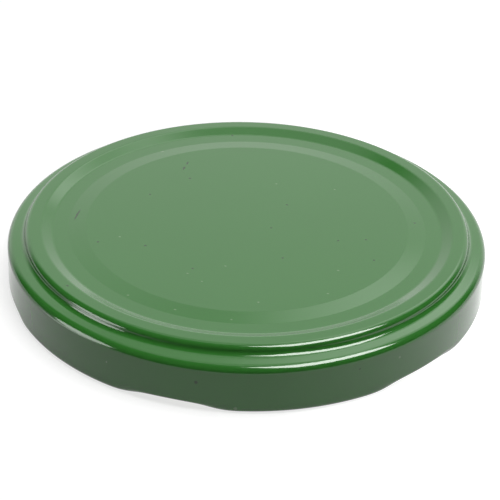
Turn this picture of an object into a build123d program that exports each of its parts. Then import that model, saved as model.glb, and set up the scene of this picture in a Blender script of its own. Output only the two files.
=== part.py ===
from build123d import *
import math
import os

# Twist-off jar lid: one pressed sheet-metal cap and the sealing ring cast into its channel.
# Lengths are in millimetres and angles in degrees.
# The lid stands on its rolled rim at Z = 0, its axis is Z, and one lug is centred on -Y.

# Sheet
sheet = 0.20

# Radii of the corners of the pressed top, on its outer skin, from the axis outwards
panel_radius = 28.6
groove_inner_radius = 31.7
groove_outer_radius = 34.5
bead_inner_radius = 36.4
bead_outer_radius = 39.15
step_foot_radius = 39.4
skirt_radius = 42.4

# Height of the lid over its bead, and how far the other levels lie under the bead's top
overall_height = 10.82
panel_below_bead = 0.48
groove_below_bead = 0.82
step_foot_below_bead = 1.66
shoulder_below_bead = 2.06

# Bends of the pressed top, on its outer skin
panel_bend = 1.5
groove_bend = 1.2
bead_inner_bend = 1.2
bead_outer_bend = 1.0
step_foot_bend = 1.0
shoulder_bend = 1.35

# Skirt: straight under the shoulder, then widening a little to its foot
straight_skirt = 0.2
flare_bend_length = 1.0
skirt_flare = 1.0

# Rolled rim: its radius is to the outside of the roll
curl_radius = 1.0
curl_sweep = 308.0

# Lugs: places where the rolled rim is pressed flat and inwards. Their bends are to the middle of the sheet.
lug_count = 6
first_lug_angle = -90.0
lug_half_angle = 16.4
lug_rise = 1.2
lug_bend = 0.45
lug_tilt = 6.0
lug_reach = 2.1
lug_hem = 0.42
lug_hem_turn = 180.0
lug_end_softness = 3.4

# Sealing ring, cast into the channel under the bead
seal_inner_radius = 34.8
seal_below_bead = 1.40
seal_dish = 0.20
seal_edge_round = 0.25

# How finely the formed rim is drawn
skirt_points = 14
rim_points = 30
steps_between_points = 24
sections_per_lug = 17
join_tolerance = 1e-3

# Worked out from the values above
shoulder_height = overall_height - shoulder_below_bead
band_top = shoulder_height - shoulder_bend - straight_skirt
curl_mid_radius = curl_radius - sheet / 2
lug_pitch = 360 / lug_count


def level_skin(depth):
    """Skin of the pressed top, from the axis to the foot of the shoulder, at a depth under its outer side."""
    corners = [
        (0, overall_height - panel_below_bead, None),
        (panel_radius, overall_height - panel_below_bead, panel_bend),
        (groove_inner_radius, overall_height - groove_below_bead, groove_bend),
        (groove_outer_radius, overall_height - groove_below_bead, groove_bend),
        (bead_inner_radius, overall_height, bead_inner_bend),
        (bead_outer_radius, overall_height, bead_outer_bend),
        (step_foot_radius, overall_height - step_foot_below_bead, step_foot_bend),
        (skirt_radius, shoulder_height, shoulder_bend),
        (skirt_radius, band_top, None),
    ]
    places = [Vector(r, 0, z) for r, z, bend in corners]
    runs = [(b - a).normalized() for a, b in zip(places, places[1:])]
    # The inner side of the sheet lies clockwise from the way the skin runs outwards.
    inward = [Vector(run.Z, 0, -run.X) for run in runs]
    points = [places[0] + inward[0] * depth]
    bends = []
    for before, after, side, next_side, place, corner in zip(
        runs, runs[1:], inward, inward[1:], places[1:], corners[1:]
    ):
        # The corner of a parallel skin lies on the bisector of the two runs.
        half_turn = side + next_side
        points.append(place + half_turn * (depth / (1 + side.dot(next_side))))
        falls_away = before.X * after.Z - before.Z * after.X < 0
        bends.append(corner[2] - depth if falls_away else corner[2] + depth)
    points.append(places[-1] + inward[-1] * depth)
    return points, FilletPolyline(*points, radius=bends)


def pressed_top():
    """Panel, groove, bead, step, ledge and shoulder, as one spun sheet."""
    outer_points, outer = level_skin(0)
    inner_points, inner = level_skin(sheet)
    rim = Line(outer_points[-1], inner_points[-1])
    axis = Line(outer_points[0], inner_points[0])
    return revolve(Face(Wire([*outer.edges(), rim, *inner.edges(), axis])), Axis.Z)


def foot_height(mid_radius, lowest):
    """Height at which the flared skirt turns into a bend whose underside is at the lowest height."""
    return lowest + sheet / 2 + mid_radius * (1 + math.sin(math.radians(skirt_flare)))


def flared_run(foot):
    """Length of the flared skirt, from the end of its first gentle bend down to the foot height."""
    flare = math.radians(skirt_flare)
    first_drop = flare_bend_length / flare * math.sin(flare)
    return (band_top - first_drop - foot) / math.cos(flare)


def curl_stretches():
    """Stretches of the plain rim, each as its length and its turn."""
    curl_length = curl_mid_radius * math.radians(curl_sweep)
    return [
        (flare_bend_length, -skirt_flare),
        (flared_run(foot_height(curl_mid_radius, 0)), 0),
        (curl_length, curl_sweep),
    ]


def lug_stretches():
    """Stretches of the rim at the middle of a lug. The sheet is as long as in the plain rim."""
    sheet_length = sum(length for length, turn in curl_stretches())
    bend_turn = 90 + skirt_flare + lug_tilt
    bend_length = lug_bend * math.radians(bend_turn)
    hem_length = lug_hem * math.radians(lug_hem_turn)
    formed = [
        (flare_bend_length, -skirt_flare),
        (flared_run(foot_height(lug_bend, lug_rise)), 0),
        (bend_length, bend_turn),
        (lug_reach, 0),
        (hem_length, lug_hem_turn),
    ]
    returned = sheet_length - sum(length for length, turn in formed)
    return [*formed, (returned, 0)]


def heading_at(stretches, travelled):
    """How far the sheet has turned after a length of it, in degrees from straight down."""
    turned = 0.0
    for length, turn in stretches:
        if travelled < length:
            return turned + turn * travelled / length
        travelled -= length
        turned += turn
    return turned


def rim_stations():
    """Lengths along the sheet, from the foot of the shoulder, at which its section has a point."""
    curl = curl_stretches()
    sheet_length = sum(length for length, turn in curl)
    formed_from = curl[0][0] + curl[1][0] - curl_radius
    skirt_step = formed_from / skirt_points
    rim_step = (sheet_length - formed_from) / rim_points
    on_skirt = [skirt_step * k for k in range(skirt_points)]
    on_rim = [formed_from + rim_step * k for k in range(rim_points + 1)]
    return on_skirt + on_rim


def rim_section(pressed):
    """Section of the flared skirt and its rim, where pressed runs from 0 at the curl to 1 at a lug's middle."""
    curl = curl_stretches()
    lug = lug_stretches()

    def turned_at(travelled):
        """The sheet's heading between the curl's and the lug's."""
        turned = (1 - pressed) * heading_at(curl, travelled) + pressed * heading_at(lug, travelled)
        return math.radians(turned)

    stations = rim_stations()
    place = Vector(skirt_radius - sheet / 2, 0, band_top)
    outer = []
    inner = []
    for station, next_station in zip(stations, [*stations[1:], stations[-1]]):
        turned = turned_at(station)
        outward = Vector(math.cos(turned), 0, -math.sin(turned))
        outer.append(place + outward * (sheet / 2))
        inner.append(place - outward * (sheet / 2))
        # The middle of the sheet is walked in short straight steps from one point to the next.
        step = (next_station - station) / steps_between_points
        for n in range(steps_between_points):
            turned = turned_at(station + (n + 0.5) * step)
            place = place + Vector(-math.sin(turned), 0, -math.cos(turned)) * step
    return Wire(
        [
            Line(inner[0], outer[0]),
            Spline(*outer),
            Line(outer[-1], inner[-1]),
            Spline(*reversed(inner)),
        ]
    )


def plain_rim():
    """Skirt and rolled rim between two lugs."""
    gap_angle = lug_pitch - 2 * lug_half_angle
    section = Face(rim_section(0))
    return revolve(section, Axis.Z, revolution_arc=gap_angle).rotate(Axis.Z, lug_half_angle)


def lug_rim():
    """Skirt and rim across one lug, pressed most at its middle."""
    sections = []
    for k in range(sections_per_lug):
        across = 2 * k / (sections_per_lug - 1) - 1
        pressed = (1 - across**2) ** lug_end_softness
        sections.append(rim_section(pressed).rotate(Axis.Z, across * lug_half_angle))
    return Solid.make_loft(sections)


def shell():
    """The whole cap in one sheet."""
    plain = plain_rim()
    lug = lug_rim()
    turned = []
    for k in range(lug_count):
        angle = first_lug_angle + k * lug_pitch
        turned.append(lug.rotate(Axis.Z, angle))
        turned.append(plain.rotate(Axis.Z, angle))
    return pressed_top().fuse(*turned, tol=join_tolerance)


def space_under_top():
    """Half section of the space under the pressed top, down to the foot of the shoulder."""
    points, skin = level_skin(sheet)
    axis_foot = Vector(0, 0, points[-1].Z)
    floor = Line(points[-1], axis_foot)
    axis = Line(axis_foot, points[0])
    return Face(Wire([*skin.edges(), floor, axis]))


def sealing_ring():
    """Cast ring that fills the channel under the bead. Its lower side is dished, as it wets both walls."""
    seal_low = overall_height - seal_below_bead
    inner_foot = Vector(seal_inner_radius, 0, seal_low)
    outer_foot = Vector(step_foot_radius, 0, seal_low)
    dish = (inner_foot + outer_foot) / 2 + Vector(0, 0, seal_dish)
    sides = Polyline(
        inner_foot,
        (seal_inner_radius, 0, overall_height),
        (step_foot_radius, 0, overall_height),
        outer_foot,
    )
    lower_side = ThreePointArc(inner_foot, dish, outer_foot)
    section = Face(Wire([*sides.edges(), lower_side])) & space_under_top()
    inner_edge = section.vertices().sort_by(Axis.Z)[0]
    return revolve(section.face().fillet_2d(seal_edge_round, [inner_edge]), Axis.Z)


os.makedirs("parts", exist_ok=True)
export_step(shell(), "parts/shell.step")
export_step(sealing_ring(), "parts/sealing_ring.step")
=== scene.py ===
import math

import bmesh
import bpy
from mathutils import Matrix, Vector


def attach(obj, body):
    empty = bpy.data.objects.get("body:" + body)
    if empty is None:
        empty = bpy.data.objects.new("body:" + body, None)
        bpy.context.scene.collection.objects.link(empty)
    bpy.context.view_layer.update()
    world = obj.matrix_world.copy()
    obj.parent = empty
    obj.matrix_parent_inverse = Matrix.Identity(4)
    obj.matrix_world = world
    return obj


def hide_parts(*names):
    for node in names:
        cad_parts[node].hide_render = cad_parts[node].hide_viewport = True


# %% [markdown]
# # A green twist-off jar lid
# The lid is one disc of tinplate, lacquered while it was still flat. A press draws it into a shallow
# cup with a panel, a groove and a raised bead. Its cut edge is rolled inwards, and the roll is then
# squeezed flat in six places to make the lugs that grip the jar. A soft ring is cast into the
# channel under the bead. The lesson follows that order: draw, roll, press, cast, lacquer, photograph.

# %% Load the frame
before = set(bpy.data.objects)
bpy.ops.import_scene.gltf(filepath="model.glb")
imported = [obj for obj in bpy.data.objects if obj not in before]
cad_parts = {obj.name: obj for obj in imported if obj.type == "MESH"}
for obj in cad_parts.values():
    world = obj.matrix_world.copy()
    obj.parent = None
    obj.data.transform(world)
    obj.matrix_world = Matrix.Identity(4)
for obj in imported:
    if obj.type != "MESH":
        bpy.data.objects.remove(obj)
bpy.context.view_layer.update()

# %% [markdown]
# ## Drawing the cup
# Half of the lid's section is a chain of straight runs with a corner between each two. Every corner
# of pressed sheet is a bend with its own radius, so each corner vertex is bevelled by itself. The
# part of the wall that will be rolled is left straight and hangs under the floor for now, as the
# drawn cup's does before the rolling tool comes down. Sizes are in mm and are turned to metres where
# a vertex is made.

# %% Sizes of the pressed top
MM = 0.001
SHEET = 0.20
TOP = 10.82
PANEL, GROOVE, STEP_FOOT, SHOULDER = TOP - 0.48, TOP - 0.82, TOP - 1.66, TOP - 2.06
BEAD_IN, BEAD_OUT = 36.40, 39.15
SKIRT_RADIUS, STRAIGHT_SKIRT = 42.4, 0.2
SHOULDER_BEND = 1.35
BAND_TOP = SHOULDER - SHOULDER_BEND - STRAIGHT_SKIRT
corners = [  # radius, height, bend radius, steps in the bend
    (28.60, PANEL, 1.5, 3),
    (31.70, GROOVE, 1.2, 3),
    (34.50, GROOVE, 1.2, 4),
    (BEAD_IN, TOP, 1.2, 4),
    (BEAD_OUT, TOP, 1.0, 12),
    (39.40, STEP_FOOT, 1.0, 12),
    (SKIRT_RADIUS, SHOULDER, SHOULDER_BEND, 12),
]
print("sheet", SHEET, "mm, height", TOP, "mm")

# %% Sizes of the rolled rim
SKIRT_FLARE, FLARE_BEND_LENGTH = 1.0, 1.0
CURL_RADIUS, CURL_SWEEP = 1.0, 308.0
CURL_MIDDLE = CURL_RADIUS - SHEET / 2
LUGS, FIRST_LUG, HALF_LUG = 6, -90, 16.4
LUG_RISE, LUG_BEND, LUG_TILT, LUG_REACH, LUG_HEM = 1.2, 0.45, 6.0, 2.1, 0.42
LUG_END_SOFTNESS = 3.4


def flared_run(bend, lowest):
    """Length of the flared skirt above a bend whose underside is at the lowest height."""
    flare = math.radians(SKIRT_FLARE)
    foot = lowest + SHEET / 2 + bend * (1 + math.sin(flare))
    return (BAND_TOP - FLARE_BEND_LENGTH / flare * math.sin(flare) - foot) / math.cos(flare)


# Each stretch of the sheet, down the skirt and round the roll, as its length and its turn
curl = [
    (FLARE_BEND_LENGTH, -SKIRT_FLARE),
    (flared_run(CURL_MIDDLE, 0), 0),
    (CURL_MIDDLE * math.radians(CURL_SWEEP), CURL_SWEEP),
]
lug_turn = 90 + SKIRT_FLARE + LUG_TILT
lug = [
    (FLARE_BEND_LENGTH, -SKIRT_FLARE),
    (flared_run(LUG_BEND, LUG_RISE), 0),
    (LUG_BEND * math.radians(lug_turn), lug_turn),
    (LUG_REACH, 0),
    (LUG_HEM * math.pi, 180),
    (10, 0),  # more than is left of the sheet, which ends somewhere along this run
]
skirt_length = curl[0][0] + curl[1][0]
rolled_length = curl[2][0]
print("skirt", round(skirt_length, 2), "mm, rolled edge", round(rolled_length, 2), "mm")


# %% Draw half of the section
def bend_corner(section, corner, bend, steps):
    """Turns a corner vertex of a section into a bend with a radius in mm."""
    runs = [edge.other_vert(corner).co - corner.co for edge in corner.link_edges]
    turn = math.pi - runs[0].angle(runs[1])
    bmesh.ops.bevel(
        section, geom=[corner], offset=bend * MM * math.tan(turn / 2), offset_type="OFFSET",
        segments=steps, profile=0.5, affect="VERTICES", material=-1,
    )


bm = bmesh.new()
row_of = bm.verts.layers.int.new("row")
places = [(0, PANEL), *[(r, z) for r, z, bend, steps in corners], (SKIRT_RADIUS, BAND_TOP)]
chain = [bm.verts.new((r * MM, 0, z * MM)) for r, z in places]
for above, below in zip(chain, chain[1:]):
    bm.edges.new((above, below))
for corner, (r, z, bend, steps) in zip(chain[1:-1], corners):
    bend_corner(bm, corner, bend, steps)
print("points in the pressed top", len(bm.verts))

# %% Hang the straight skirt and the edge that will be rolled
skirt_steps, rim_steps = 12, 40
# The roll and the lugs begin a little above the roll's own length, so fine rows start there
plain_length = skirt_length - CURL_RADIUS
formed_length = rolled_length + CURL_RADIUS


def hang(length, steps):
    """Extrudes the lowest vertex straight down by a length, and divides the new edge."""
    lowest = min(bm.verts, key=lambda v: v.co.z)
    made = bmesh.ops.extrude_vert_indiv(bm, verts=[lowest])
    made["verts"][0].co.z -= length * MM
    bmesh.ops.subdivide_edges(bm, edges=made["edges"], cuts=steps - 1)


hang(plain_length, skirt_steps)
hang(formed_length, rim_steps)
print("lowest point of the drawn cup in mm", round(min(v.co.z for v in bm.verts) / MM, 2))

# %% Number the rows from the middle of the panel to the cut edge
vert = min(bm.verts, key=lambda v: v.co.x)
last, row = None, 0
while vert:
    vert[row_of] = row
    ahead = [e.other_vert(vert) for e in vert.link_edges if e.other_vert(vert) is not last]
    last, vert, row = vert, ahead[0] if ahead else None, row + 1
first_rim_row = row - 1 - skirt_steps - rim_steps
print("rows", row, "of which from the shoulder down", row - first_rim_row)


# %% Spin it into a cup
def spin_round(section, steps):
    """Spins a half section round the lid's axis, and closes its seam and its poles."""
    bmesh.ops.spin(
        section, geom=section.verts[:] + section.edges[:], axis=(0, 0, 1), cent=(0, 0, 0),
        angle=math.tau, steps=steps, use_merge=True, use_duplicate=False,
    )
    bmesh.ops.remove_doubles(section, verts=section.verts[:], dist=1e-7)
    bmesh.ops.recalc_face_normals(section, faces=section.faces[:])


spin_round(bm, steps=360)
print("faces in the cup", len(bm.faces))

# %% [markdown]
# ## Rolling the edge and pressing the lugs
# Forming bends the sheet and doesn't stretch it. So every row of the skirt keeps its distance along
# the sheet, and only the way the sheet is heading changes: round and round in the curl, flat and
# doubled back in a lug. Across a lug the headings pass smoothly from one to the other, which gives
# the soft flats that show in the lid's lower edge.


# %% Where a row of the sheet comes to lie
def heading(stretches, travelled):
    """How far the sheet has turned, in degrees from straight down, after a length of it."""
    turned = 0.0
    for length, turn in stretches:
        if travelled < length:
            return turned + turn * travelled / length
        travelled -= length
        turned += turn
    return turned


STEPS_BETWEEN_ROWS = 16
stations = [plain_length * k / skirt_steps for k in range(skirt_steps)]
stations += [plain_length + formed_length * k / rim_steps for k in range(rim_steps + 1)]


def formed_rows(pressed):
    """Radius and height of the outer skin at each row. Pressed is 0 in the curl and 1 in mid-lug."""

    def turned_at(travelled):
        """The sheet's heading between the curl's and the lug's."""
        return math.radians((1 - pressed) * heading(curl, travelled) + pressed * heading(lug, travelled))

    radius, height = SKIRT_RADIUS - SHEET / 2, BAND_TOP
    rows = []
    for station, next_station in zip(stations, [*stations[1:], stations[-1]]):
        turned = turned_at(station)
        rows.append((radius + math.cos(turned) * SHEET / 2, height - math.sin(turned) * SHEET / 2))
        # The middle of the sheet is walked in short straight steps from one row to the next
        step = (next_station - station) / STEPS_BETWEEN_ROWS
        for n in range(STEPS_BETWEEN_ROWS):
            turned = turned_at(station + (n + 0.5) * step)
            radius -= math.sin(turned) * step
            height -= math.cos(turned) * step
    return rows


print("rows to form", len(stations))

# %% Form every column of the skirt
pitch = 360 / LUGS
columns = {}
for v in bm.verts:
    if v[row_of] < first_rim_row:
        continue
    angle = math.atan2(v.co.y, v.co.x)
    from_lug = (math.degrees(angle) - FIRST_LUG + pitch / 2) % pitch - pitch / 2
    pressed = max(0.0, 1 - (from_lug / HALF_LUG) ** 2) ** LUG_END_SOFTNESS
    # Columns that are pressed alike share their rows, so each is worked out once
    pressed = round(pressed, 4)
    if pressed not in columns:
        columns[pressed] = formed_rows(pressed)
    radius, height = columns[pressed][v[row_of] - first_rim_row]
    v.co = Vector((radius * math.cos(angle), radius * math.sin(angle), height)) * MM
print("different columns", len(columns), "lowest point in mm", min(v.co.z for v in bm.verts) / MM)


# %% Finish the sheet
def make_piece(name, mesh_maker, cad_node):
    """Turns a bmesh into a smooth object that rides on the part and stands for a CAD node."""
    mesh = bpy.data.meshes.new(name)
    mesh_maker.to_mesh(mesh)
    mesh_maker.free()
    mesh.shade_smooth()
    piece = bpy.data.objects.new(name, mesh)
    bpy.context.scene.collection.objects.link(piece)
    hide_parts(cad_node)
    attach(piece, "root")
    return piece


cap = make_piece("lacquered_cap", bm, "shell")
# The sheet thickens inwards. Its inner side and its cut edge get finishes of their own.
wall = cap.modifiers.new("sheet_thickness", "SOLIDIFY")
wall.thickness = SHEET * MM
wall.offset = -1
wall.use_even_offset = True
wall.material_offset = 1
wall.material_offset_rim = 2
# Wide faces keep their own direction, so the panel and the ledge mirror as flats
flat = cap.modifiers.new("keep_flats_flat", "WEIGHTED_NORMAL")
flat.mode = "FACE_AREA"
flat.weight = 50
print("faces on the sheet's outer side", len(cap.data.polygons))

# %% [markdown]
# ## Casting the sealing ring
# The sealing compound is poured into the channel while the lid spins upside down, and then baked.
# It wets both walls of the channel, so its face is a little dished, and it fills the channel right
# up to the sheet. So its section is a closed loop that follows the sheet's inner side above, and is
# spun as the cup was.

# %% Sizes of the ring
SEAL_IN, SEAL_OUT, SEAL_LOW = 34.8, 39.16, TOP - 1.40
SEAL_DISH, SEAL_ROUND = 0.20, 0.25
# The ring stops a hair under the sheet. The corners of the sheet's inner side lie off its outer corners.
UNDER = SHEET + 0.005
SLOPE_SHIFT, BEAD_IN_SHIFT, BEAD_OUT_SHIFT, WALL_SHIFT = 0.11, 0.04, 0.17, 0.02
ring_corners = [  # radius, height, bend radius, steps in the bend
    (SEAL_IN, SEAL_LOW, SEAL_ROUND, 5),
    (SEAL_IN, GROOVE - UNDER + SLOPE_SHIFT, 0, 0),
    (BEAD_IN + BEAD_IN_SHIFT, TOP - UNDER, 1.0, 4),
    (BEAD_OUT - BEAD_OUT_SHIFT, TOP - UNDER, 0.8, 8),
    (SEAL_OUT, SEAL_LOW + WALL_SHIFT, 0, 0),
]
print("ring", round(TOP - UNDER - SEAL_LOW, 2), "mm thick")

# %% Draw the ring's section
bm = bmesh.new()
ring = [bm.verts.new((r * MM, 0, z * MM)) for r, z, bend, steps in ring_corners]
for a, b in zip(ring, ring[1:] + ring[:1]):
    bm.edges.new((a, b))
for corner, (r, z, bend, steps) in zip(ring, ring_corners):
    if bend:
        bend_corner(bm, corner, bend, steps)
print("points in the ring's section", len(bm.verts))

# %% Dish the ring's lower side and spin it
LONG_EDGE, DISH_STEPS = 2, 10
DISH_START = SEAL_IN + SEAL_ROUND
ONLY_DISH_BELOW = SEAL_LOW + 0.05
# The lower side is the lowest of the long edges. Those of the bends are all short.
long_edges = [e for e in bm.edges if e.calc_length() > LONG_EDGE * MM]
lower_side = min(long_edges, key=lambda e: e.verts[0].co.z)
bmesh.ops.subdivide_edges(bm, edges=[lower_side], cuts=DISH_STEPS - 1)
for v in bm.verts:
    across = (v.co.x / MM - DISH_START) / (SEAL_OUT - DISH_START)
    if v.co.z < ONLY_DISH_BELOW * MM and 0 < across < 1:
        v.co.z += SEAL_DISH * MM * (1 - (2 * across - 1) ** 2)
spin_round(bm, steps=240)
seal = make_piece("cast_sealing_ring", bm, "sealing_ring")
print("ring faces", len(seal.data.polygons))

# %% [markdown]
# ## Finishes
# Every material is built from nodes by one small helper. Colours are written as sRGB hex values and
# turned to the linear values that the shader works in. Each pattern's scale is one over the size of
# its grain, because a noise texture counts its cells per metre.


# %% Helpers for nodes and colours
def linear(hex_colour):
    """Linear red, green, blue and alpha of an sRGB hex colour."""
    parts = [int(hex_colour[i : i + 2], 16) / 255 for i in (1, 3, 5)]
    return [c / 12.92 if c <= 0.04045 else ((c + 0.055) / 1.055) ** 2.4 for c in parts] + [1.0]


def node(owner, kind, settings=None, links=None):
    """Adds a node, sets its properties and sockets, and links the sockets that are given an output.

    A socket goes by its name, or by its number where several have one name.
    """
    made = owner.node_tree.nodes.new(kind)
    for key, value in (settings or {}).items():
        if isinstance(key, str) and hasattr(made, key):
            setattr(made, key, value)
        else:
            made.inputs[key].default_value = value
    for key, output in (links or {}).items():
        owner.node_tree.links.new(output, made.inputs[key])
    return made


def new_material(name):
    """An empty material with its Principled shader and the function that links its nodes."""
    material = bpy.data.materials.new(name)
    material.use_nodes = True
    return material, material.node_tree.nodes["Principled BSDF"], material.node_tree.links.new


print("linear value of a mid grey", round(linear("#808080")[0], 3))

# %% [markdown]
# ### The green lacquer
# Stoved enamel is rolled onto the flat sheet, so its colour is even, and it flows out glossy with a
# very faint orange peel. Dirt specks are dark, chips show the pale primer and tin under the green.
# A mark is a small stretched ball in space, and where the skin passes through it, it shows.

# %% Green lacquer, before it was scratched
lacquer, shader, link = new_material("stoved_enamel_green")
where = node(lacquer, "ShaderNodeTexCoord").outputs["Object"]
drift = node(lacquer, "ShaderNodeTexNoise", {"Scale": 1 / (18 * MM), "Detail": 2.0}, {"Vector": where})
colour = node(
    lacquer, "ShaderNodeMix",
    {"data_type": "RGBA", 6: linear("#2e6b28"), 7: linear("#316f2b")}, {"Factor": drift.outputs["Fac"]},
).outputs[2]
peel = node(lacquer, "ShaderNodeTexNoise", {"Scale": 1 / (1.2 * MM), "Detail": 1.0}, {"Vector": where})
skin = node(
    lacquer, "ShaderNodeBump",
    {"Strength": 0.06, "Distance": 0.02 * MM}, {"Height": peel.outputs["Fac"]},
)
link(skin.outputs["Normal"], shader.inputs["Normal"])
shader.inputs["Roughness"].default_value = 0.11
shader.inputs["IOR"].default_value = 1.5
print(lacquer.name, "roughness", round(shader.inputs["Roughness"].default_value, 2))

# %% Where the marks are
# On the top: place in mm, half length and half width in mm, turn in degrees
dark_marks = [
    (-29.7, -6.8, 1.80, 0.20, 95), (-17.1, 15.6, 0.70, 0.20, 95), (-17.1, 17.7, 0.60, 0.18, 95),
    (-14.8, 12.2, 0.28, 0.18, 10), (-12.6, 31.9, 0.22, 0.18, 0), (-22.7, -14.7, 0.24, 0.18, 0),
    (-22.1, -30.2, 0.24, 0.20, 0), (-14.5, -13.2, 0.26, 0.20, 30), (-19.8, 4.1, 0.22, 0.18, 0),
    (-4.4, -17.6, 0.22, 0.16, 0), (9.2, -9.4, 0.22, 0.18, 0), (4.5, -0.3, 0.20, 0.16, 0),
    (5.0, 8.5, 0.22, 0.18, 0), (16.9, -0.7, 0.24, 0.16, 45), (21.4, 1.2, 0.20, 0.18, 0),
    (24.3, -5.1, 0.22, 0.16, 0), (28.3, 9.9, 0.24, 0.20, 0),
]
pale_marks = [
    (-23.3, 21.0, 0.35, 0.14, 40), (-19.7, -11.8, 0.20, 0.16, 0), (-4.7, -19.4, 0.22, 0.14, 0),
    (-1.6, -21.0, 0.20, 0.14, 0), (0.7, -15.1, 0.20, 0.15, 0), (-3.2, -30.3, 0.24, 0.14, 0),
    (-12.0, -28.6, 0.20, 0.15, 0), (6.4, -30.1, 0.20, 0.15, 0), (1.0, 15.4, 0.20, 0.15, 0),
    (11.8, 16.9, 0.20, 0.15, 0), (19.3, -10.3, 0.20, 0.15, 0), (19.4, -17.9, 0.20, 0.15, 0),
    (9.2, -24.1, 0.20, 0.15, 0),
]
# On the skirt: angle round the lid in degrees, height and half size in mm
skirt_dark_marks = [(-84.1, 5.4, 0.32), (-48.0, 6.2, 0.16)]
skirt_pale_marks = [(-75.5, 1.0, 0.30), (-76.6, 0.5, 0.16), (-37.5, 5.9, 0.22), (-105.3, 5.0, 0.16)]
print("marks on the top", len(dark_marks) + len(pale_marks))
print("marks on the skirt", len(skirt_dark_marks) + len(skirt_pale_marks))

# %% Masks that show each kind of mark
RAGGED = 0.18  # how far a mark's outline is shaken, in mm
MARK_DEPTH = 3  # half height of a mark on the top, in mm, so that it shows on all its levels
ragged = node(lacquer, "ShaderNodeTexNoise", {"Scale": 1 / (0.4 * MM), "Detail": 1.0}, {"Vector": where})
shaken = node(
    lacquer, "ShaderNodeVectorMath",
    {"operation": "MULTIPLY_ADD", 1: (RAGGED * MM,) * 3}, {0: ragged.outputs["Color"], 2: where},
)


def mark_mask(top_marks, skirt_marks):
    """A mask that is 1 inside each mark and 0 elsewhere."""
    marks = [(x, y, TOP, length, width, MARK_DEPTH, turn) for x, y, length, width, turn in top_marks]
    for angle, z, size in skirt_marks:
        x, y = SKIRT_RADIUS * math.cos(math.radians(angle)), SKIRT_RADIUS * math.sin(math.radians(angle))
        marks.append((x, y, z, size, size, size, 0))
    spots = []
    for x, y, z, half_length, half_width, half_height, turn in marks:
        # Noise lies about a half, so the shaken place is half of the shake too far along
        placed = node(
            lacquer, "ShaderNodeMapping",
            {
                "vector_type": "TEXTURE",
                "Location": [(c + RAGGED / 2) * MM for c in (x, y, z)],
                "Rotation": (0, 0, math.radians(turn)),
                "Scale": (half_length * MM, half_width * MM, half_height * MM),
            },
            {"Vector": shaken.outputs["Vector"]},
        )
        away = node(
            lacquer, "ShaderNodeVectorMath", {"operation": "LENGTH"}, {0: placed.outputs["Vector"]}
        )
        # One half size away is the mark's edge, and it fades across that
        spot = node(
            lacquer, "ShaderNodeMapRange",
            {"From Min": 1.3, "From Max": 0.6}, {"Value": away.outputs["Value"]},
        )
        spots.append(spot.outputs["Result"])
    mask = spots[0]
    for spot in spots[1:]:
        mask = node(lacquer, "ShaderNodeMath", {"operation": "MAXIMUM"}, {0: mask, 1: spot}).outputs[0]
    return mask


dirt = mark_mask(dark_marks, skirt_dark_marks)
chips = mark_mask(pale_marks, skirt_pale_marks)
print("nodes in the lacquer so far", len(lacquer.node_tree.nodes))

# %% Lay the marks over the green
for mask, mark_colour in ((dirt, "#173f15"), (chips, "#64875c")):
    colour = node(
        lacquer, "ShaderNodeMix",
        {"data_type": "RGBA", 7: linear(mark_colour)}, {"Factor": mask, 6: colour},
    ).outputs[2]
link(colour, shader.inputs["Base Color"])
print("nodes in the lacquer", len(lacquer.node_tree.nodes))

# %% [markdown]
# ### The inner varnish, the cut edge and the sealing compound
# Inside, the tinplate has a clear gold varnish against the acid of the food, so the metal's rolling
# grain still shows through as long fine streaks. The cut edge is bare metal, grey and a little dull
# where the shears tore it. The sealing ring is soft cast plastisol, off-white and satin, with the
# slight ripple of a skin that set while it flowed.

# %% Gold varnish over tinplate
varnish, shader, link = new_material("gold_varnish_on_tinplate")
where = node(varnish, "ShaderNodeTexCoord").outputs["Object"]
rolled = node(
    varnish, "ShaderNodeMapping",
    {"Scale": (1 / (9 * MM), 1 / (0.25 * MM), 1 / (0.25 * MM))}, {"Vector": where},
)
grain = node(
    varnish, "ShaderNodeTexNoise", {"Scale": 1.0, "Detail": 3.0}, {"Vector": rolled.outputs["Vector"]}
).outputs["Fac"]
tone = node(
    varnish, "ShaderNodeMix",
    {"data_type": "RGBA", 6: linear("#c9a561"), 7: linear("#dcbb78")}, {"Factor": grain},
)
link(tone.outputs[2], shader.inputs["Base Color"])
rough = node(varnish, "ShaderNodeMapRange", {"To Min": 0.24, "To Max": 0.36}, {"Value": grain})
link(rough.outputs["Result"], shader.inputs["Roughness"])
lines = node(varnish, "ShaderNodeBump", {"Strength": 0.08, "Distance": 0.01 * MM}, {"Height": grain})
link(lines.outputs["Normal"], shader.inputs["Normal"])
shader.inputs["Metallic"].default_value = 1.0
shader.inputs["Coat Weight"].default_value = 0.6
shader.inputs["Coat Roughness"].default_value = 0.08
print(varnish.name, "nodes", len(varnish.node_tree.nodes))

# %% Bare metal of the cut edge
bare, shader, link = new_material("sheared_tinplate_edge")
where = node(bare, "ShaderNodeTexCoord").outputs["Object"]
torn = node(bare, "ShaderNodeTexNoise", {"Scale": 1 / (0.3 * MM), "Detail": 2.0}, {"Vector": where})
tone = node(
    bare, "ShaderNodeMix",
    {"data_type": "RGBA", 6: linear("#a8a9a8"), 7: linear("#c6c7c4")}, {"Factor": torn.outputs["Fac"]},
)
link(tone.outputs[2], shader.inputs["Base Color"])
shader.inputs["Metallic"].default_value = 1.0
shader.inputs["Roughness"].default_value = 0.35
print(bare.name, "nodes", len(bare.node_tree.nodes))

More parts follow.
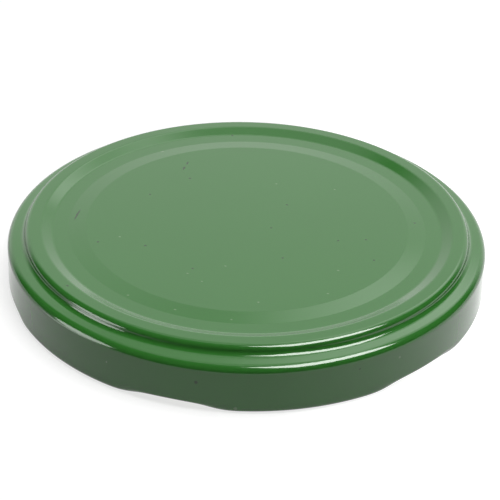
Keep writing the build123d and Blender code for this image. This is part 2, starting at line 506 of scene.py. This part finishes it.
# %% Cast sealing compound
compound, shader, link = new_material("cast_plastisol")
where = node(compound, "ShaderNodeTexCoord").outputs["Object"]
cloud = node(compound, "ShaderNodeTexNoise", {"Scale": 1 / (6 * MM), "Detail": 3.0}, {"Vector": where})
tone = node(
    compound, "ShaderNodeMix",
    {"data_type": "RGBA", 6: linear("#cfcabd"), 7: linear("#dcd8cc")}, {"Factor": cloud.outputs["Fac"]},
)
link(tone.outputs[2], shader.inputs["Base Color"])
ripple = node(compound, "ShaderNodeTexNoise", {"Scale": 1 / (2.5 * MM), "Detail": 2.0}, {"Vector": where})
flow = node(
    compound, "ShaderNodeBump",
    {"Strength": 0.25, "Distance": 0.08 * MM}, {"Height": ripple.outputs["Fac"]},
)
link(flow.outputs["Normal"], shader.inputs["Normal"])
shader.inputs["Roughness"].default_value = 0.38
shader.inputs["IOR"].default_value = 1.52
print(compound.name, "nodes", len(compound.node_tree.nodes))

# %% Put the finishes on
for material in (lacquer, varnish, bare):
    cap.data.materials.append(material)
seal.data.materials.append(compound)
print("finishes on the sheet", [material.name for material in cap.data.materials])

# %% [markdown]
# ## The studio
# The lid lies on a white floor, with a white sweep behind it and a dim room in front. So the flat top
# mirrors the sweep, and the bends mirror dim room with a bright line where they face a soft lamp. A
# glossy thing shows what it mirrors as much as its own colour. Light Path tells the rays apart, so
# what the camera and the mirrors see is set without changing the soft light that falls on the lid.

# %% Camera
AZIMUTH, ELEVATION, ROLL = math.radians(16.0), math.radians(30.9), math.radians(1.48)
CAMERA_DISTANCE, TARGET_HEIGHT = 297.5, 7.52
back = Vector((
    math.sin(AZIMUTH) * math.cos(ELEVATION), -math.cos(AZIMUTH) * math.cos(ELEVATION), math.sin(ELEVATION)
))
target = Vector((0, 0, TARGET_HEIGHT * MM))
camera = bpy.data.objects.new("camera", bpy.data.cameras.new("camera"))
camera.data.sensor_width = 36
camera.data.lens = 119.8
camera.data.shift_x = 0.0064
camera.data.shift_y = -0.0272
camera.data.clip_start, camera.data.clip_end = 0.01, 20
camera.matrix_world = (
    Matrix.Translation(target + back * CAMERA_DISTANCE * MM)
    @ back.to_track_quat("Z", "Y").to_matrix().to_4x4()
    @ Matrix.Rotation(ROLL, 4, "Z")
)
bpy.context.scene.collection.objects.link(camera)
bpy.context.scene.camera = camera
print("camera", CAMERA_DISTANCE, "mm away, lens", round(camera.data.lens, 1), "mm")


# %% Helpers for the studio
def as_seen(right, behind, up):
    """Turns a place or direction, counted from the lid as the camera sees it, into the world's axes."""
    return Matrix.Rotation(AZIMUTH, 3, "Z") @ Vector((right, behind, up))


def seen_directly(owner):
    """Is 1 for camera, mirror and see-through rays, and 0 for the rays that carry soft light."""
    rays = node(owner, "ShaderNodeLightPath")
    seen = rays.outputs["Is Camera Ray"]
    for kind in ("Is Glossy Ray", "Is Transmission Ray"):
        links = {0: seen, 1: rays.outputs[kind]}
        seen = node(owner, "ShaderNodeMath", {"operation": "MAXIMUM"}, links).outputs[0]
    return seen


print("to the right of the lid is", [round(c, 2) for c in as_seen(1, 0, 0)])

# %% [markdown]
# ### The floor
# The rays that carry soft light meet a plain pale grey. The camera and the mirrors see the floor glow,
# so it comes out white, with a little grey under the glow that keeps the lid's shadow. The glow isn't
# even: it is brighter on the right, mirror rays see a light patch on the left, and for them it ends in
# the dark in front.

# %% What soft light meets
floor_white, shader, link = new_material("white_floor")
shader.inputs["Base Color"].default_value = linear("#a6a6a6")
shader.inputs["Roughness"].default_value = 0.9
shader.inputs["Specular IOR Level"].default_value = 0.0
print(floor_white.name, "grey", round(shader.inputs["Base Color"].default_value[0], 2))

# %% What the camera and the mirrors see
FLOOR_GLOW, RIGHT_GLOW, PATCH_GLOW = 0.72, 1.12, 5.0
PATCH_PLACE, PATCH_SIZE = as_seen(-57 * MM, -36 * MM, 0), (10 * MM, 21 * MM, 1)
where = node(floor_white, "ShaderNodeTexCoord").outputs["Object"]
mirrored = node(floor_white, "ShaderNodeLightPath").outputs["Is Glossy Ray"]
# The skirt's right side mirrors the brighter white there
sideways = node(
    floor_white, "ShaderNodeVectorMath", {"operation": "DOT_PRODUCT", 1: as_seen(1, 0, 0)}, {0: where}
)
brighter = node(
    floor_white, "ShaderNodeMapRange",
    {"From Min": 6 * MM, "From Max": 40 * MM, "To Min": FLOOR_GLOW, "To Max": RIGHT_GLOW},
    {"Value": sideways.outputs["Value"]},
)
# The wall of the step mirrors the patch, and no other ray sees it
patch = node(
    floor_white, "ShaderNodeMapping",
    {"vector_type": "TEXTURE", "Location": PATCH_PLACE, "Rotation": (0, 0, AZIMUTH), "Scale": PATCH_SIZE},
    {"Vector": where},
)
away = node(floor_white, "ShaderNodeVectorMath", {"operation": "LENGTH"}, {0: patch.outputs["Vector"]})
spot = node(
    floor_white, "ShaderNodeMapRange",
    {"interpolation_type": "SMOOTHSTEP", "From Min": 1.0, "From Max": 0.2, "To Max": PATCH_GLOW},
    {"Value": away.outputs["Value"]},
)
strength = node(
    floor_white, "ShaderNodeMath", {"operation": "MULTIPLY_ADD"},
    {0: spot.outputs["Result"], 1: mirrored, 2: brighter.outputs["Result"]},
)
glow = node(floor_white, "ShaderNodeEmission", links={"Strength": strength.outputs[0]})
shadowed = node(floor_white, "ShaderNodeBsdfDiffuse", {"Color": linear("#959595")})
both = node(floor_white, "ShaderNodeAddShader", links={0: glow.outputs[0], 1: shadowed.outputs[0]})
choice = node(
    floor_white, "ShaderNodeMixShader",
    links={0: seen_directly(floor_white), 1: shader.outputs[0], 2: both.outputs[0]},
)
print("glow", FLOOR_GLOW, "on the right", RIGHT_GLOW, "in the patch", PATCH_GLOW)

# %% Where the floor ends
# The white ends just in front of the picture, so what is mirrored from beyond it is dark
FADE_START, FADE_END = 62 * MM, 74 * MM
ahead = node(
    floor_white, "ShaderNodeVectorMath", {"operation": "DOT_PRODUCT", 1: as_seen(0, -1, 0)}, {0: where}
)
beyond = node(
    floor_white, "ShaderNodeMapRange",
    {"From Min": FADE_START, "From Max": FADE_END}, {"Value": ahead.outputs["Value"]},
)
past = node(
    floor_white, "ShaderNodeMath", {"operation": "MULTIPLY"}, {0: mirrored, 1: beyond.outputs["Result"]}
)
ended = node(floor_white, "ShaderNodeMixShader", links={0: past.outputs[0], 1: choice.outputs[0]})
# From below it is clear, so the inside of the lid can be looked at
below = node(floor_white, "ShaderNodeNewGeometry").outputs["Backfacing"]
clear = node(floor_white, "ShaderNodeBsdfTransparent")
whole = node(
    floor_white, "ShaderNodeMixShader", links={0: below, 1: ended.outputs[0], 2: clear.outputs[0]}
)
link(whole.outputs[0], floor_white.node_tree.nodes["Material Output"].inputs[0])
print("nodes in the floor", len(floor_white.node_tree.nodes))

# %% Lay the floor
FLOOR_WIDTH = 12.0  # in metres
FLOOR_GAP = 0.02 * MM  # a hair, so that the floor and the rim don't share a plane
floor_maker = bmesh.new()
bmesh.ops.create_grid(
    floor_maker, x_segments=1, y_segments=1, size=FLOOR_WIDTH / 2,
    matrix=Matrix.Translation((0, 0, -FLOOR_GAP)),
)
floor = bpy.data.objects.new("floor", bpy.data.meshes.new("floor"))
floor_maker.to_mesh(floor.data)
floor_maker.free()
bpy.context.scene.collection.objects.link(floor)
floor.data.materials.append(floor_white)
print("floor", FLOOR_WIDTH, "m wide")

# %% [markdown]
# ### The lamps and the room
# A big box overhead gives the soft light. The two strips are seen by mirror rays alone, as streaks in
# the bends: a broad one over the right front, and a small round one low on the left. The mirrors also
# see the room, which is dark apart from the white sweep and two bright places above it.


# %% Lamps
def soft_lamp(name, azimuth, elevation, distance, width, height, power):
    """A soft lamp that faces the lid. Its azimuth counts from straight behind it, and sizes are in m."""
    a, e = math.radians(azimuth), math.radians(elevation)
    aim = as_seen(math.sin(a) * math.cos(e), math.cos(a) * math.cos(e), math.sin(e))
    lamp = bpy.data.lights.new(name, "AREA")
    lamp.shape, lamp.size, lamp.size_y, lamp.energy = "RECTANGLE", width, height, power
    piece = bpy.data.objects.new(name, lamp)
    turned = aim.to_track_quat("Z", "Y").to_matrix().to_4x4()
    piece.matrix_world = Matrix.Translation(aim * distance) @ turned
    bpy.context.scene.collection.objects.link(piece)
    piece.visible_camera = False
    return piece


soft_box = soft_lamp(
    "overhead_soft_box", azimuth=107, elevation=80, distance=1.2, width=0.8, height=0.8, power=16.5
)
soft_box.visible_glossy = False
overhead_strip = soft_lamp(
    "overhead_strip", azimuth=126, elevation=60, distance=1.0, width=0.78, height=0.48, power=19.9
)
left_strip = soft_lamp(
    "left_strip", azimuth=-121, elevation=10, distance=0.09, width=0.042, height=0.029, power=0.0191
)
left_strip.data.shape = "ELLIPSE"
for strip in (overhead_strip, left_strip):
    strip.visible_diffuse = False
print("soft light", soft_box.data.energy, "W")

# %% Room
world = bpy.data.worlds.new("room")
bpy.context.scene.world = world
world.use_nodes = True
background = world.node_tree.nodes["Background"]
direction = node(world, "ShaderNodeTexCoord").outputs["Generated"]


def bright_part(towards, edge, core, strength):
    """Brightness that fades in towards a direction. Edge and core are cosines of the angle to it."""
    aim = as_seen(*towards).normalized()
    facing = node(world, "ShaderNodeVectorMath", {"operation": "DOT_PRODUCT", 1: aim}, {0: direction})
    return node(
        world, "ShaderNodeMapRange",
        {"interpolation_type": "SMOOTHSTEP", "From Min": edge, "From Max": core, "To Max": strength},
        {"Value": facing.outputs["Value"]},
    ).outputs["Result"]


white_sweep = bright_part((0, 1, 0), edge=0.48, core=0.76, strength=1.4)
right_above = bright_part((0.34, 0.56, 0.755), edge=0.92, core=0.985, strength=1.9)
overhead = bright_part((0, 0.27, 0.96), edge=0.88, core=0.97, strength=1.2)
room = white_sweep
for part in (right_above, overhead):
    room = node(world, "ShaderNodeMath", {"operation": "ADD"}, {0: room, 1: part}).outputs[0]
print("nodes in the room so far", len(world.node_tree.nodes))

# %% What each ray sees of the room
ROOM_SOFT_LIGHT = 0.10
# The camera sees plain white past the floor
straight = node(world, "ShaderNodeLightPath").outputs["Is Camera Ray"]
room = node(world, "ShaderNodeMath", {"operation": "MAXIMUM"}, {0: room, 1: straight}).outputs[0]
level = node(
    world, "ShaderNodeMix",
    {"data_type": "FLOAT", 2: ROOM_SOFT_LIGHT}, {"Factor": seen_directly(world), 3: room},
)
background.inputs["Color"].default_value = (1, 1, 1, 1)
world.node_tree.links.new(level.outputs[0], background.inputs["Strength"])
print("soft light from the room", ROOM_SOFT_LIGHT)

# %% View settings
bpy.context.scene.view_settings.view_transform = "Standard"
